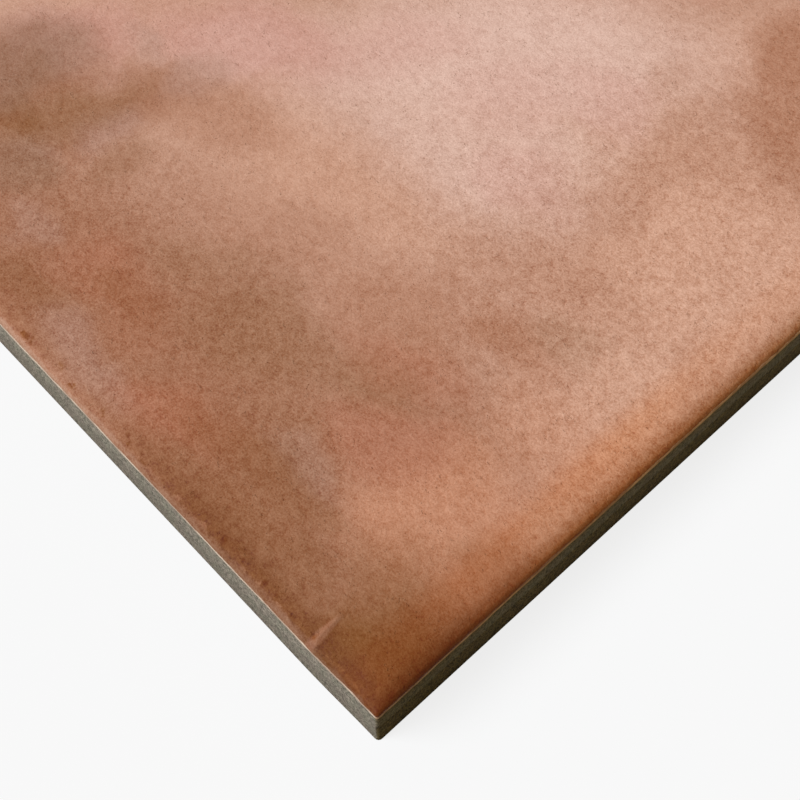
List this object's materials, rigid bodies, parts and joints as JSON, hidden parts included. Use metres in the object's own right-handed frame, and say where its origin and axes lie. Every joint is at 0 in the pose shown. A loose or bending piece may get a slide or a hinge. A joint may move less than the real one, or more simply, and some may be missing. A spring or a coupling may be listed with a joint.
{
  "type": "terracotta-look floor tile",
  "caption": "Square glazed porcelain floor tile with a terracotta-look face, gently rolled rim, drafted lower side wall and honeycomb back, lying face up.",
  "frame": {"origin": "middle of the underside, the face that is bedded on the floor", "axes": "+Z out of the wearing face; the sides run along X and Y; the corner nearest the camera in the picture is at +X, -Y"},
  "size_m": [0.2, 0.2, 0.009],
  "materials": {
    "glazed_porcelain": "matt mottled terracotta glaze over a thin cream engobe on a bare warm grey body"
  },
  "bodies": {
    "root": {"floor_tile": "glazed_porcelain"}
  },
  "joints": []
}
